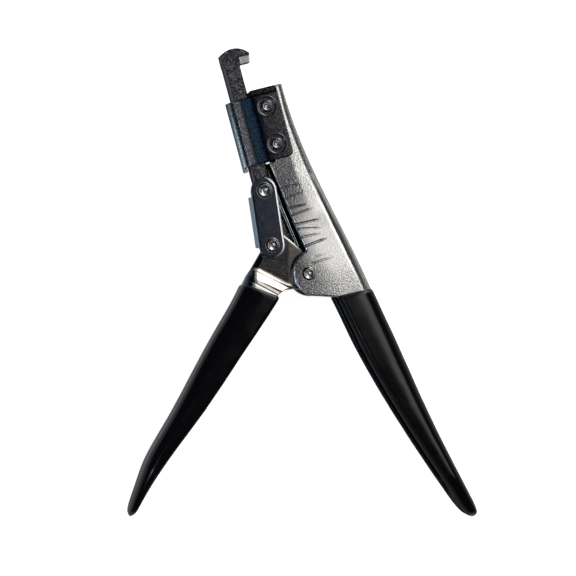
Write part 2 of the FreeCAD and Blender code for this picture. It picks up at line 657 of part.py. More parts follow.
def main():
    os.makedirs("parts", exist_ok=True)
    frame = body_channel()
    lever = lever_channel()
    upper, lower = guide_rivet_places()
    washer = thrust_washer()
    save("body_channel", frame)
    save("body_grip", body_grip(frame))
    save("die_block", die_block())
    save("guide_strap", guide_strap())
    save("guide_rivet_upper", guide_rivet(upper))
    save("guide_rivet_lower", guide_rivet(lower))
    save("main_pivot_rivet", main_pivot_rivet())
    save("pivot_bush", pivot_bush())
    save("thrust_washer_front", washer)
    save("thrust_washer_back", flipped(washer))
    save("return_spring", return_spring())
    save("lever_channel", lever)
    save("lever_grip", lever_grip(lever))
    save("link_rivet_lower", link_rivet_lower())
    save("nose_spacer", nose_spacer())
    save("punch_bar", punch_bar())
    save("link_rivet_upper", link_rivet_upper())
    save("link_stirrup", link_stirrup())


main()
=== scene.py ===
import math

import bmesh
import bpy
import numpy as np
from mathutils import Matrix, Vector, noise


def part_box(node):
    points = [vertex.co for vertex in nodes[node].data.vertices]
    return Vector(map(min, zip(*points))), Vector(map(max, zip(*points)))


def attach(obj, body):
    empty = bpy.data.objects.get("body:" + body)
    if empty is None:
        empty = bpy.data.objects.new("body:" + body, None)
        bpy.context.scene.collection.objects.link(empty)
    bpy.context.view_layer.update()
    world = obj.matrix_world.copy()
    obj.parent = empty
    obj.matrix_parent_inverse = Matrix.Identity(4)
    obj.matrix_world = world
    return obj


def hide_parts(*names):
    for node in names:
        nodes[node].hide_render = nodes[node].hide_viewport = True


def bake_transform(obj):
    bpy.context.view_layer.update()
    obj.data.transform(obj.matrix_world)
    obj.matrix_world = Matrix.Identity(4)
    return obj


MM = 0.001
MID = 7.4            # height of the tool's mid-plane, mm
HALF = MID           # and half its thickness over the grips and the pivot rivet
BAR_LEAN = 15.3      # how far each part leans from upright, in degrees
LINK_LEAN = 8.7
HANDLE_LEAN = 24.0

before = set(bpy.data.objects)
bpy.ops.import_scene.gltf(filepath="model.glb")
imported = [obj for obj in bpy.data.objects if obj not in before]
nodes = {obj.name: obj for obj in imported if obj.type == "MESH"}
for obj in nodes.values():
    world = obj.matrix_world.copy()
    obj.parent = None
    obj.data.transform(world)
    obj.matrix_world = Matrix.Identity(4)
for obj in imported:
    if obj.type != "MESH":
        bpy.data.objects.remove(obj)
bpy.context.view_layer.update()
scene = bpy.context.scene


# ---- helpers -------------------------------------------------------------------------
def centre_of(node):
    low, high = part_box(node)
    return (low + high) / 2


def xy_of(node):
    middle = centre_of(node) / MM
    return middle.x, middle.y


def new_object(name, data):
    made = bpy.data.objects.new(name, data)
    scene.collection.objects.link(made)
    return made


def from_points(name, points, faces):
    """A smooth mesh object from points in mm about the mid-plane."""
    mesh = bpy.data.meshes.new(name)
    lifted = np.array(points, float) + (0, 0, MID)
    mesh.from_pydata((lifted * MM).tolist(), [], faces)
    mesh.validate()
    edit = bmesh.new()
    edit.from_mesh(mesh)
    bmesh.ops.recalc_face_normals(edit, faces=edit.faces)
    edit.to_mesh(mesh)
    edit.free()
    mesh.shade_smooth()
    return new_object(name, mesh)


def applied(piece):
    """The piece with its modifiers turned into mesh."""
    graph = bpy.context.evaluated_depsgraph_get()
    mesh = bpy.data.meshes.new_from_object(piece.evaluated_get(graph))
    old = piece.data
    piece.modifiers.clear()
    piece.data = mesh
    bpy.data.meshes.remove(old)
    mesh.shade_smooth()
    return piece


def softened(node, name, voxel, rounds, lean, relief=None):
    """The CAD shape as an even fine mesh with eased edges, then its surface relief.

    The mesh's grid is turned to the piece's own lean, so its long edges stay straight.
    """
    piece = new_object(name, nodes[node].data.copy())
    piece.data.materials.clear()
    upright = Matrix.Rotation(math.radians(lean), 4, "Z")
    piece.data.transform(upright)
    remesh = piece.modifiers.new("even", "REMESH")
    remesh.mode = "VOXEL"
    remesh.voxel_size = voxel * MM
    ease = piece.modifiers.new("ease", "SMOOTH")
    ease.factor = 0.5
    ease.iterations = rounds
    applied(piece)
    piece.data.transform(upright.inverted())
    if relief:
        shift_points(piece, relief)
    return piece


def shift_points(piece, relief):
    """Moves each point along its normal by relief(x, y, z, normals), all in mm about the mid-plane."""
    mesh = piece.data
    count = len(mesh.vertices)
    places = np.empty(count * 3)
    mesh.vertices.foreach_get("co", places)
    places = places.reshape(-1, 3)
    normals = np.empty(count * 3)
    mesh.vertex_normals.foreach_get("vector", normals)
    normals = normals.reshape(-1, 3)
    x, y, z = (places / MM).T
    moved = places + normals * (relief(x, y, z - MID, normals) * MM)[:, None]
    mesh.vertices.foreach_set("co", moved.ravel())
    mesh.update()


def place(piece, body, node, slot, look):
    """The piece gets its look, rides on its body and takes the place of its CAD node."""
    piece.data.materials.clear()
    piece.data.materials.append(look)
    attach(piece, body)
    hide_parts(node)
    return piece


def smooth_line(points, count):
    """A natural cubic through the points, sampled evenly by chord length."""
    points = np.array(points, float)
    knots = np.concatenate([[0], np.cumsum(np.linalg.norm(np.diff(points, axis=0), axis=1))])
    n = len(points)
    gaps = np.diff(knots)
    matrix = np.eye(n)
    right = np.zeros((n, points.shape[1]))
    for i in range(1, n - 1):
        matrix[i, i - 1: i + 2] = gaps[i - 1], 2 * (gaps[i - 1] + gaps[i]), gaps[i]
        right[i] = 6 * ((points[i + 1] - points[i]) / gaps[i] - (points[i] - points[i - 1]) / gaps[i - 1])
    bend = np.linalg.solve(matrix, right)
    wanted = np.linspace(0, knots[-1], count)
    which = np.clip(np.searchsorted(knots, wanted) - 1, 0, n - 2)
    ahead = (knots[which + 1] - wanted)[:, None]
    behind = (wanted - knots[which])[:, None]
    gap = gaps[which][:, None]
    line = (bend[which] * ahead ** 3 + bend[which + 1] * behind ** 3) / (6 * gap)
    line += (points[which] / gap - bend[which] * gap / 6) * ahead
    return line + (points[which + 1] / gap - bend[which + 1] * gap / 6) * behind


def eased(profile, rounds=2, cut=0.2):
    """Corner cutting: each round takes every corner off a line of points."""
    line = np.array(profile, float)
    for _ in range(rounds):
        here, ahead = line[:-1], line[1:]
        pairs = np.stack([here * (1 - cut) + ahead * cut, here * cut + ahead * (1 - cut)], axis=1)
        line = np.vstack([line[:1], pairs.reshape(-1, 2), line[-1:]])
    return line


def rows_of_faces(rows, size, closed=False):
    """The faces between rows of points that each run round a loop. Closed: the last row meets the first."""
    faces = []
    for row in range(rows if closed else rows - 1):
        here, below = row * size, (row + 1) % rows * size
        for i in range(size):
            j = (i + 1) % size
            faces.append((here + i, here + j, below + j, below + i))
    return faces


def ring_points(centre, line, sides):
    """A (radius, z) line turned about an upright axis."""
    turns = [2 * math.pi * i / sides for i in range(sides)]
    return [(centre[0] + radius * math.cos(a), centre[1] + radius * math.sin(a), z)
            for radius, z in line for a in turns]


def turned(name, centre, profile, sides=72, least=0.001):
    """A piece turned from (radius, z) points, z from the mid-plane, closed on its axis."""
    line = [(max(radius, least), z) for radius, z in eased(profile)]
    points = ring_points(centre, line, sides)
    faces = rows_of_faces(len(line), sides)
    faces.append(tuple(range(sides)))
    faces.append(tuple(len(points) - sides + i for i in range(sides)))
    return from_points(name, points, faces)


# ---- materials -----------------------------------------------------------------------
class Look:
    """A node material with short calls for the patterns the pieces share."""

    def __init__(self, name):
        self.material = bpy.data.materials.new(name)
        self.material.use_nodes = True
        self.tree = self.material.node_tree
        self.shader = self.tree.nodes["Principled BSDF"]
        self.where = self.tree.nodes.new("ShaderNodeTexCoord").outputs["Object"]

    def node(self, kind, **values):
        made = self.tree.nodes.new(kind)
        for key, value in values.items():
            setattr(made, key, value)
        return made

    def link(self, out, into):
        self.tree.links.new(out, into)

    def mapped(self, turn=0.0, stretch=(1, 1, 1)):
        """Object coordinates in mm, turned about z, then stretched."""
        turned_by = self.node("ShaderNodeVectorRotate", rotation_type="Z_AXIS")
        turned_by.inputs["Angle"].default_value = math.radians(turn)
        self.link(self.where, turned_by.inputs["Vector"])
        scaled = self.node("ShaderNodeVectorMath", operation="MULTIPLY")
        scaled.inputs[1].default_value = [s / MM for s in stretch]
        self.link(turned_by.outputs[0], scaled.inputs[0])
        return scaled.outputs[0]

    def noise(self, size, detail=3.0, rough=0.55, where=None, warp=0.0):
        """Noise with features of this size in mm."""
        made = self.node("ShaderNodeTexNoise")
        made.inputs["Scale"].default_value = 1 / size
        made.inputs["Detail"].default_value = detail
        made.inputs["Roughness"].default_value = rough
        made.inputs["Distortion"].default_value = warp
        self.link(where or self.mapped(), made.inputs["Vector"])
        return made.outputs["Fac"]

    def cells(self, size):
        """Distance from scattered points about this far apart in mm."""
        made = self.node("ShaderNodeTexVoronoi")
        made.inputs["Scale"].default_value = 1 / size
        self.link(self.mapped(), made.inputs["Vector"])
        return made.outputs["Distance"]

    def axes(self, turn=0.0):
        """The surface's own x, y and z in mm, turned about z."""
        split = self.node("ShaderNodeSeparateXYZ")
        self.link(self.mapped(turn), split.inputs[0])
        return split.outputs

    def ramp(self, value, *stops):
        """Stops are (position, colour or grey)."""
        made = self.node("ShaderNodeValToRGB")
        while len(made.color_ramp.elements) < len(stops):
            made.color_ramp.elements.new(0.5)
        for element, (at, colour) in zip(made.color_ramp.elements, stops):
            element.position = at
            element.color = (*colour, 1) if isinstance(colour, tuple) else (colour, colour, colour, 1)
        self.link(value, made.inputs["Fac"])
        return made.outputs["Color"]

    def span(self, value, low, high, start=0.0, end=1.0):
        """From low to high as the value goes from start to end."""
        made = self.node("ShaderNodeMapRange")
        for key, number in zip(("From Min", "From Max", "To Min", "To Max"), (start, end, low, high)):
            made.inputs[key].default_value = number
        self.link(value, made.inputs["Value"])
        return made.outputs["Result"]

    def feed(self, socket, value):
        """A number or a colour is set on the socket, anything else is linked to it."""
        if isinstance(value, (int, float)):
            socket.default_value = value
        elif isinstance(value, tuple):
            socket.default_value = (*value, 1)
        else:
            self.link(value, socket)

    def math(self, kind, a, b=0):
        made = self.node("ShaderNodeMath", operation=kind)
        for socket, value in zip(made.inputs, (a, b)):
            self.feed(socket, value)
        return made.outputs[0]

    def times(self, a, b):
        return self.math("MULTIPLY", a, b)

    def mix(self, share, a, b, how="MIX"):
        made = self.node("ShaderNodeMix", data_type="RGBA", blend_type=how)
        for socket, value in ((made.inputs[0], share), (made.inputs[6], a), (made.inputs[7], b)):
            self.feed(socket, value)
        return made.outputs[2]

    def tinted(self, colour, tint):
        return self.mix(1.0, colour, tint, "MULTIPLY")

    def between(self, value, low, high):
        """1 where the value lies between two limits, else 0."""
        return self.times(self.math("GREATER_THAN", value, low), self.math("LESS_THAN", value, high))

    def facing(self, axis, low, high):
        """1 where this part of the surface's own normal lies between two limits."""
        split = self.node("ShaderNodeSeparateXYZ")
        self.link(self.node("ShaderNodeTexCoord").outputs["Normal"], split.inputs[0])
        return self.between(split.outputs[axis], low, high)

    def bump(self, height, depth, after=None):
        """A bump of this depth in mm for a height of 1."""
        made = self.node("ShaderNodeBump")
        made.inputs["Strength"].default_value = 1.0
        made.inputs["Distance"].default_value = depth * MM
        self.link(height, made.inputs["Height"])
        if after:
            self.link(after, made.inputs["Normal"])
        return made.outputs["Normal"]

    def set(self, **inputs):
        names = {"colour": "Base Color", "rough": "Roughness", "normal": "Normal", "metal": "Metallic",
                 "specular": "Specular IOR Level", "edge": "Specular Tint"}
        for key, value in inputs.items():
            self.feed(self.shader.inputs[names[key]], value)
        return self.material


def plated_look():
    """Bright and even where the wall was pressed, rougher and mottled toward its two ends, and painted dark
    on the back wall's inner face, a painted shade.
    """
    pressed_y, even, rough_from = 17.0, 9.0, 20.0
    back_wall_shade_heights = (2.0, 11.0)
    look = Look("bright_plated_steel")
    blotches = look.noise(2.6, 3, 0.6)
    peel = look.noise(0.6, 3, 0.6)
    grain = look.noise(0.3, 2, 0.5)
    axes = look.axes()
    along = look.math("ABSOLUTE", look.math("SUBTRACT", axes["Y"], pressed_y))
    rough_ends = look.span(along, 0.25, 1.0, even, rough_from)
    colour = look.ramp(grain, (0.3, (0.60, 0.595, 0.58)), (0.7, (0.72, 0.715, 0.70)))
    rough = look.span(blotches, 0.10, 0.15, 0.3, 0.7)
    normal = look.bump(look.times(peel, rough_ends), 0.07, look.bump(grain, 0.005))
    # Painted shade: the back wall's inner face, between the two walls, is painted a dark olive grey.
    inside = look.times(look.facing("Z", 0.8, 1.1), look.between(axes["Z"], *back_wall_shade_heights))
    mottle = look.ramp(look.noise(0.55, 4, 0.7), (0.38, 0.35), (0.5, 0.75), (0.6, 1.0))
    colour = look.mix(look.times(rough_ends, 0.75), colour, look.tinted(colour, mottle))
    colour = look.mix(inside, colour, (0.24, 0.245, 0.21))
    return look.set(colour=colour, rough=rough, metal=1.0, normal=normal)


def lever_look():
    """Brushed along the joggle, with painted shade: darker brown on the neck inside the frame and dark blue
    on its left-facing bend.
    """
    brushed, neck_heights = 26, (9.0, 10.75)
    look = Look("satin_plated_lever")
    lines = look.noise(0.5, 4, 0.6, look.mapped(brushed, (0.12, 1.6, 1)))
    blotches = look.noise(2.2, 4, 0.65)
    colour = look.ramp(blotches, (0.3, (0.44, 0.40, 0.36)), (0.7, (0.62, 0.595, 0.56)))
    # Painted shade: the neck's face between the frame's walls is painted a darker brown.
    neck = look.times(look.between(look.axes()["Z"], *neck_heights), look.facing("Z", 0.985, 1.1))
    brown = look.ramp(blotches, (0.3, (0.17, 0.145, 0.125)), (0.7, (0.30, 0.285, 0.27)))
    colour = look.mix(neck, colour, brown)
    # Painted shade: the bend that faces left is painted dark blue.
    bend = look.times(look.facing("X", -1.0, -0.25), look.facing("Z", 0.05, 0.93))
    colour = look.mix(bend, colour, (0.045, 0.058, 0.08))
    rough = look.span(lines, 0.15, 0.25, 0.3, 0.7)
    return look.set(colour=colour, rough=rough, metal=1.0, normal=look.bump(lines, 0.010))


def blued_look():
    """Temper colours brown on the bend, blue over the bar and brown-black flats, with painted light: a
    painted pale blue reflection on the web that darkens toward its top, a painted shade band and a painted
    highlight line beside it, and painted shadow at the strap's ends.
    """
    web, flat = BAR_LINE - 5.2, BAR_LINE + 15.2
    low_end, high_end = PIN_ALONG + 9.0, PIN_ALONG + 38.0
    look = Look("blued_spring_steel")
    clouds = look.noise(4.0, 4, 0.6, look.mapped(-BAR_LEAN, (1.0, 0.35, 1.0)), 0.4)
    fine = look.noise(0.42, 4, 0.7, look.mapped(-BAR_LEAN, (1.0, 0.6, 1.0)))
    axes = look.axes(-BAR_LEAN)
    across = look.span(axes["X"], 0, 1, web, flat)
    across = look.math("ADD", across, look.times(look.math("SUBTRACT", clouds, 0.5), 0.012))
    # Across the strap: the pale blue on the web is a painted reflection, the dark stop after it a painted
    # shade and the grey stop a painted highlight line; the brown, blue and brown-black stops are temper
    # colours.
    temper_and_painted_light = look.ramp(
        across, (0.03, (0.60, 0.76, 0.88)), (0.075, (0.03, 0.04, 0.06)), (0.10, (0.50, 0.49, 0.50)),
        (0.12, (0.30, 0.28, 0.30)), (0.21, (0.22, 0.20, 0.215)), (0.26, (0.022, 0.035, 0.06)),
        (0.33, (0.035, 0.066, 0.11)), (0.42, (0.028, 0.052, 0.095)), (0.50, (0.015, 0.024, 0.045)),
        (0.60, (0.055, 0.052, 0.062)), (0.95, (0.085, 0.08, 0.085)))
    # Painted shade: the web's painted reflection darkens toward the strap's top end.
    fade = look.span(axes["Y"], 1.15, 0.35, low_end + 3.0, high_end - 2.0)
    temper_and_painted_light = look.mix(look.math("LESS_THAN", across, 0.06), temper_and_painted_light, look.tinted(temper_and_painted_light, fade))
    colour = look.tinted(temper_and_painted_light, look.ramp(fine, (0.36, 0.35), (0.5, 0.9), (0.66, 2.4)))
    # Painted shadow: a near-black band at each end of the strap, off the web.
    ends = look.math("ADD", look.between(axes["Y"], high_end - 1.6, high_end),
                     look.between(axes["Y"], low_end, low_end + 2.0))
    ends = look.times(ends, look.math("GREATER_THAN", axes["X"], BAR_LINE - 2.4))
    colour = look.mix(ends, colour, (0.012, 0.014, 0.02))
    rough = look.span(fine, 0.20, 0.32, 0.3, 0.7)
    normal = look.bump(fine, 0.010)
    return look.set(colour=colour, rough=rough, metal=1.0, edge=(0.5, 0.55, 0.6), normal=normal)


def tool_look():
    """Dark, grained all over, but ground bright in the pocket beside the tooth, and painted lighter on its
    left-facing sides as a painted reflection.
    """
    look = Look("hardened_tool_steel")
    pits = look.noise(0.5, 4, 0.7, None, 0.6)
    clouds = look.noise(2.2, 4, 0.6)
    tone = look.math("ADD", look.times(pits, 0.75), look.times(clouds, 0.25))
    colour = look.ramp(tone, (0.41, (0.014, 0.013, 0.016)), (0.51, (0.055, 0.052, 0.06)),
                       (0.62, (0.32, 0.31, 0.33)))
    rough = look.span(pits, 0.24, 0.40, 0.3, 0.7)
    axes = look.axes(-BAR_LEAN)
    pocket = look.times(look.between(axes["X"], BAR_LINE + 4.4, BAR_LINE + 10.0),
                        look.between(axes["Y"], PIN_ALONG + 50.0, PIN_ALONG + 53.6))
    colour = look.mix(pocket, colour, (0.62, 0.62, 0.61))
    # Painted reflection: faces turned to the left are painted a lighter grey.
    colour = look.mix(look.facing("X", -1.1, -0.5), colour, (0.26, 0.25, 0.27))
    die_top = look.times(look.math("GREATER_THAN", axes["X"], BAR_LINE + 4.2),
                         look.between(axes["Y"], PIN_ALONG + 36.0, PIN_ALONG + 47.0))
    colour = look.mix(die_top, colour, look.tinted(colour, (0.35, 0.34, 0.36)))
    normal = look.bump(look.times(pits, look.span(pocket, 1.0, 0.12)), 0.06)
    return look.set(colour=colour, rough=rough, metal=1.0, edge=(0.25, 0.25, 0.27), normal=normal)


def link_look():
    """Blued faces between rims painted with light: a painted grey highlight on the right one, a painted pale
    blue reflection on the left one.
    """
    look = Look("satin_blued_link")
    clouds = look.noise(2.4, 4, 0.65)
    lines = look.noise(0.3, 3, 0.6, look.mapped(-8, (1.5, 0.3, 1.0)))
    colour = look.ramp(clouds, (0.3, (0.045, 0.05, 0.075)), (0.7, (0.085, 0.088, 0.115)))
    # Painted light: a grey highlight on the rim facing right, a pale blue reflection on the rim facing left.
    painted_highlight_rim = look.facing("X", 0.06, 1.1)
    painted_reflection_rim = look.times(look.facing("X", -1.1, 0.0), look.facing("Z", -1.1, 0.35))
    colour = look.mix(painted_highlight_rim, colour, (0.72, 0.72, 0.72))
    colour = look.mix(painted_reflection_rim, colour, (0.66, 0.88, 1.0))
    rough = look.span(lines, 0.20, 0.32, 0.3, 0.7)
    return look.set(colour=colour, rough=rough, metal=1.0, normal=look.bump(lines, 0.010))


def rivet_look(name, dark, light):
    look = Look(name)
    clouds = look.noise(0.9, 3, 0.6)
    rings = look.noise(0.3, 3, 0.6)
    colour = look.ramp(clouds, (0.3, dark), (0.7, light))
    rough = look.span(rings, 0.10, 0.18, 0.3, 0.7)
    return look.set(colour=colour, rough=rough, metal=1.0, normal=look.bump(rings, 0.008))


def vinyl_look(name, open_side):
    """Glossy, except on the open side, where the dip is dull inside its folded edges."""
    look = Look(name)
    waves = look.noise(7.0, 2, 0.5)
    fine = look.noise(0.5, 2, 0.5)
    dust = look.ramp(look.cells(1.9), (0.0, 1.0), (0.035, 1.0), (0.07, 0.0))
    colour = look.mix(look.times(dust, 0.25), (0.0013, 0.0013, 0.0018), (0.035, 0.035, 0.04))
    dull = look.facing("X", *open_side)
    rough = look.math("ADD", look.span(waves, 0.11, 0.16, 0.3, 0.7), look.times(dull, 0.4))
    normal = look.bump(fine, 0.002, look.bump(waves, 0.05))
    return look.set(colour=colour, rough=rough, specular=0.38, normal=normal)


def wire_look():
    look = Look("drawn_spring_wire")
    clouds = look.noise(0.8, 3, 0.6)
    colour = look.ramp(clouds, (0.3, (0.22, 0.21, 0.19)), (0.7, (0.42, 0.40, 0.37)))
    return look.set(colour=colour, rough=look.span(clouds, 0.25, 0.4, 0.3, 0.7), metal=1.0)


pin_x, pin_y = xy_of("link_rivet_upper")
lean = math.radians(BAR_LEAN)
BAR_LINE = pin_x * math.cos(lean) + pin_y * math.sin(lean)   # the bar's own line, across it
PIN_ALONG = pin_y * math.cos(lean) - pin_x * math.sin(lean)  # and its upper pin, along it
plated = plated_look()
satin = lever_look()
blued = blued_look()
tool = tool_look()
link_steel = link_look()
rivet_bright = rivet_look("bright_rivet_steel", (0.55, 0.55, 0.54), (0.72, 0.72, 0.71))
rivet_dark = rivet_look("dark_rivet_steel", (0.42, 0.43, 0.45), (0.62, 0.63, 0.64))
rivet_blued = rivet_look("blued_rivet_steel", (0.07, 0.07, 0.075), (0.15, 0.15, 0.155))
groove_black = rivet_look("groove_shadow", (0.015, 0.015, 0.017), (0.03, 0.03, 0.032))
vinyl_right = vinyl_look("black_dipped_vinyl", (-1.1, -0.2))
vinyl_left = vinyl_look("black_dipped_vinyl_left", (0.55, 1.1))
wire = wire_look()


# ---- frame, lever, bar, strap, link, die ---------------------------------------------
# Press marks on the front wall: where each starts, its length, its angle and its depth.
MARKS = [(-12.0, 33.6, 9.4, 14, 0.12), (-13.2, 36.4, 8.0, 11, 0.08), (-10.3, 29.8, 8.8, 20, 0.09),
         (-9.5, 25.6, 8.9, 13, 0.13), (-8.0, 22.8, 10.4, 19, 0.08), (-6.7, 19.1, 11.8, 13, 0.10),
         (-5.7, 17.6, 11.2, 4, 0.10), (-5.1, 14.0, 10.4, 12, 0.09), (-3.9, 9.9, 12.6, 21, 0.13),
         (0.5, 3.7, 9.8, 18, 0.08), (1.5, 6.4, 6.0, 18, 0.05),
         (-6.3, 36.3, 3.2, -104, 0.07), (-5.0, 36.0, 2.5, -104, 0.06), (-3.8, 35.4, 2.6, -97, 0.06),
         (-7.8, 31.9, 1.9, -96, 0.06), (-5.9, 30.6, 2.1, -104, 0.07), (-2.6, 34.2, 2.7, -105, 0.05)]
# Down the same wall, as (y, x): where its big bend starts, and the line of its crown.
SHOULDER = [(25, 0.0), (33.5, -3.3), (41.5, -6.3), (50, -9.0), (72, -14.5)]
CROWN = [(-12, 7.0), (-4, 5.5), (1.5, 3.0), (6, -1.0), (19, -8.0), (27, -4.5), (36, 0.0), (48, 4.0),
         (80, 4.0)]
MARK_WIDTH = 0.25


def right_of(line, x, y):
    """How far right of a (y, x) line each point is."""
    return x - np.interp(y, [c[0] for c in line], [c[1] for c in line])


def along_line(x, y, start, end):
    """Each point's way along a line from its start, its way left of it, and the line's length."""
    (ax, ay), (bx, by) = start, end
    length = math.hypot(bx - ax, by - ay)
    ux, uy = (bx - ax) / length, (by - ay) / length
    return (x - ax) * ux + (y - ay) * uy, (y - ay) * ux - (x - ax) * uy, length


def press_marks():
    for x, y, length, angle, depth in MARKS:
        way = math.radians(angle)
        yield (x, y), (x + length * math.cos(way), y + length * math.sin(way)), depth


def stroke(x, y, start, end, width):
    """How near each point is to a short line, from 1 on it to 0, fading at its ends."""
    along, aside, length = along_line(x, y, start, end)
    fade = np.clip(along / 1.2, 0, 1) * np.clip((length - along) / 3.0, 0, 1)
    return np.exp(-(aside / width) ** 2) * fade


def frame_relief(x, y, z, normals):
    """The front wall is crowned a little along its length and marked where it was pressed."""
    rise, curve, round_to, deepest, soft = 0.1, 0.0025, 8.0, -0.55, 1.5
    away = np.abs(right_of(CROWN, x, y))
    shift = rise - curve * np.where(away < round_to, away ** 2, (2 * away - round_to) * round_to)
    past = right_of(SHOULDER, x, y)
    past = np.where(past < soft, np.clip(past, 0, soft) ** 2 / (2 * soft), past - soft / 2)
    shift -= np.interp(y, [24, 33, 41], [0, 0.04, 0.10]) * past
    shift = np.maximum(shift, deepest)
    for start, end, depth in press_marks():
        shift -= depth * stroke(x, y, start, end, MARK_WIDTH)
    front_only = np.clip((normals[:, 2] - 0.2) / 0.7, 0, 1) * np.clip((z - 1.5) / 3.0, 0, 1)
    return shift * front_only


def lever_relief(x, y, z, normals):
    """The neck leans a little to the left, and the handle rises a little from its joggle to the grip."""
    down = -(x + 24.0) * 0.46 - (y + 0.9) * 0.89      # along the handle, from its joggle
    in_frame = np.clip(-(down + 3.0) / 1.5, 0, 1)
    lean = np.clip(0.05 * (x + 8.5), -0.6, 0.05) * in_frame
    ease = np.interp(down, [-5.2, -3.0, -0.2, 4.5], [0, 0.45, -0.45, 0.35])
    crease = 0.14 * np.exp(-((down - 1.5) / 0.25) ** 2)
    inside = -((x + 11.9) * 0.6 + (y - 17.4) * 0.8)   # from the neck's slanting upper edge
    edge = 0.25 * np.clip(0.8 - inside, 0, 1.5) * in_frame
    front_only = np.where(z > 0, np.clip((normals[:, 2] - 0.3) / 0.4, 0, 1), 0)
    return front_only * (lean + ease - crease - edge)


def link_relief(x, y, z, normals):
    """The front plate's edge is rolled off a little, except toward its web."""
    flat_to, slope = 4.45, 0.17
    along, left, length = along_line(x, y, xy_of("link_rivet_lower"), xy_of("link_rivet_upper"))
    away = np.hypot(left, along - np.clip(along, 0, length))
    off_web = np.clip((away - left) / away, 0, 1)
    front = (normals[:, 2] > 0.8) & (z > 3)
    return np.where(front, -slope * np.clip(away - flat_to, 0, 1) * off_web, 0)


body = softened("body_channel", "frame_channel", 0.26, 4, -HANDLE_LEAN, frame_relief)
place(body, "frame_handle", "body_channel", slot="plated_sheet", look=plated)
lever = softened("lever_channel", "lever_sheet", 0.26, 3, HANDLE_LEAN, lever_relief)
place(lever, "lever", "lever_channel", slot="plated_sheet", look=satin)
strap = softened("guide_strap", "guide_sleeve", 0.2, 3, -BAR_LEAN)
place(strap, "frame_handle", "guide_strap", slot="blued_strap", look=blued)
bar = softened("punch_bar", "hooked_bar", 0.2, 2, -BAR_LEAN)
place(bar, "punch", "punch_bar", slot="tool_steel", look=tool)
die = softened("die_block", "slotted_die", 0.25, 2, -BAR_LEAN)
place(die, "frame_handle", "die_block", slot="tool_steel", look=tool)
stirrup = softened("link_stirrup", "stirrup", 0.2, 2, -LINK_LEAN, link_relief)
place(stirrup, "link", "link_stirrup", slot="link_plate", look=link_steel)


# ---- grips ---------------------------------------------------------------------------
# Stations from mouth to tip: a point on the spine and the one opposite it on the open edge.
FRAME_GRIP = [((23.2, 2.4), (6.5, 0.2)), ((29.4, -10.5), (12.4, -10.2)),
              ((37.2, -26.7), (20.8, -26.9)), ((52.5, -59.3), (40.4, -59.9)),
              ((61.0, -75.8), (51.6, -76.6)), ((67.9, -88.4), (60.3, -89.1)),
              ((71.9, -96.2), (65.2, -95.9)), ((73.0, -99.7), (68.9, -99.9))]
LEVER_GRIP = [((-22.2, 4.5), (-5.8, 0.6)), ((-29.2, -10.4), (-12.1, -10.4)),
              ((-38.5, -26.3), (-22.6, -26.1)), ((-55.7, -57.8), (-44.1, -57.2)),
              ((-64.5, -73.3), (-55.8, -72.6)), ((-68.9, -84.9), (-63.5, -84.2)),
              ((-71.1, -91.6), (-67.2, -91.0)), ((-71.8, -95.0), (-69.4, -95.2))]
WALL = 3.9                              # vinyl, sheet and lining together
LIP = 1.7                               # radius where the dip turns into its groove
TAPER, TAPER_RUN = 2.8, 21.0            # how much thinner half of it is at the tip, over what length
TIP_RUN = 3.2                           # length of the rounded tip
ROLL, ROLL_RUN = 1.35, 1.3              # how far the mouth is rolled in, over what length
GROOVE_START, GROOVE_RUN = 12.0, 12.0   # from the tip, where the groove starts, over what length it deepens
LEAST_GROOVE = 0.3
GRIP_ROWS = 110


def arc_points(centre, radius, start, end, count):
    angles = [math.radians(start + (end - start) * i / count) for i in range(count + 1)]
    return [(centre[0] + radius * math.cos(a), centre[1] + radius * math.sin(a)) for a in angles]


def bend_points(wide, half, bend):
    """The folded back of a grip, rounder than a circle, from its spine to its flat."""
    for angle in range(90, -1, -6):
        sine = max(math.sin(math.radians(angle)), 0.0)
        cosine = max(math.cos(math.radians(angle)), 0.0)
        yield wide * (1 - sine ** 0.8), half - bend * (1 - cosine ** 0.8)


def grip_loop(width, half, bend, groove, inset):
    """One cross-section, as (across from the spine, z) points: the outside, a lip, the groove, a lip."""
    wide = width * 0.57
    bend = min(bend, half * 0.85)
    lip = min(LIP, width * 0.3, half * 0.4)
    inner_lip = min(1.0, lip * 0.7)
    floor = width - groove
    gap = max(half - WALL, 0.25)
    side = list(bend_points(wide, half, bend))
    side += [(wide + (width - lip - wide) * i / 9, half) for i in range(1, 9)]
    side += arc_points((width - lip, half - lip), lip, 90, 0, 6)
    side += arc_points((width - inner_lip, gap + inner_lip), inner_lip, 0, -90, 4)
    side += [(width - inner_lip + (floor + 0.6 - width + inner_lip) * i / 8, gap) for i in range(1, 9)]
    side += [(floor + 0.2, gap * 0.8), (floor, gap * 0.45)]
    points = np.array(side)
    past_middle = np.clip((points[:, 0] - 0.5 * width) / width, 0, 1)
    points[:, 1] -= 0.3 * past_middle ** 2 * (points[:, 1] > gap + 0.5)
    points[:, 0] = np.clip(points[:, 0], inset, width - inset)
    outside = points[:, 1] > gap + 0.5
    points[:, 1] = np.where(outside, points[:, 1] - inset * 0.95, points[:, 1] + inset * 0.5)
    return np.vstack([points, points[::-1] * (1, -1)])


def crossing(line, point, along):
    """The share down a line of points where it crosses the mouth."""
    normal = np.array([-along[1], along[0]])
    side = (line - point) @ normal
    k = int(np.nonzero(np.diff(np.sign(side)))[0][0])
    return (k + side[k] / (side[k] - side[k + 1])) / (len(line) - 1)


def resampled(line, start, rows):
    """Rows evenly spaced down a line of points from this share of it to its end."""
    at = np.linspace(start, 1, rows) * (len(line) - 1)
    low = np.clip(at.astype(int), 0, len(line) - 2)
    share = (at - low)[:, None]
    return line[low] * (1 - share) + line[low + 1] * share


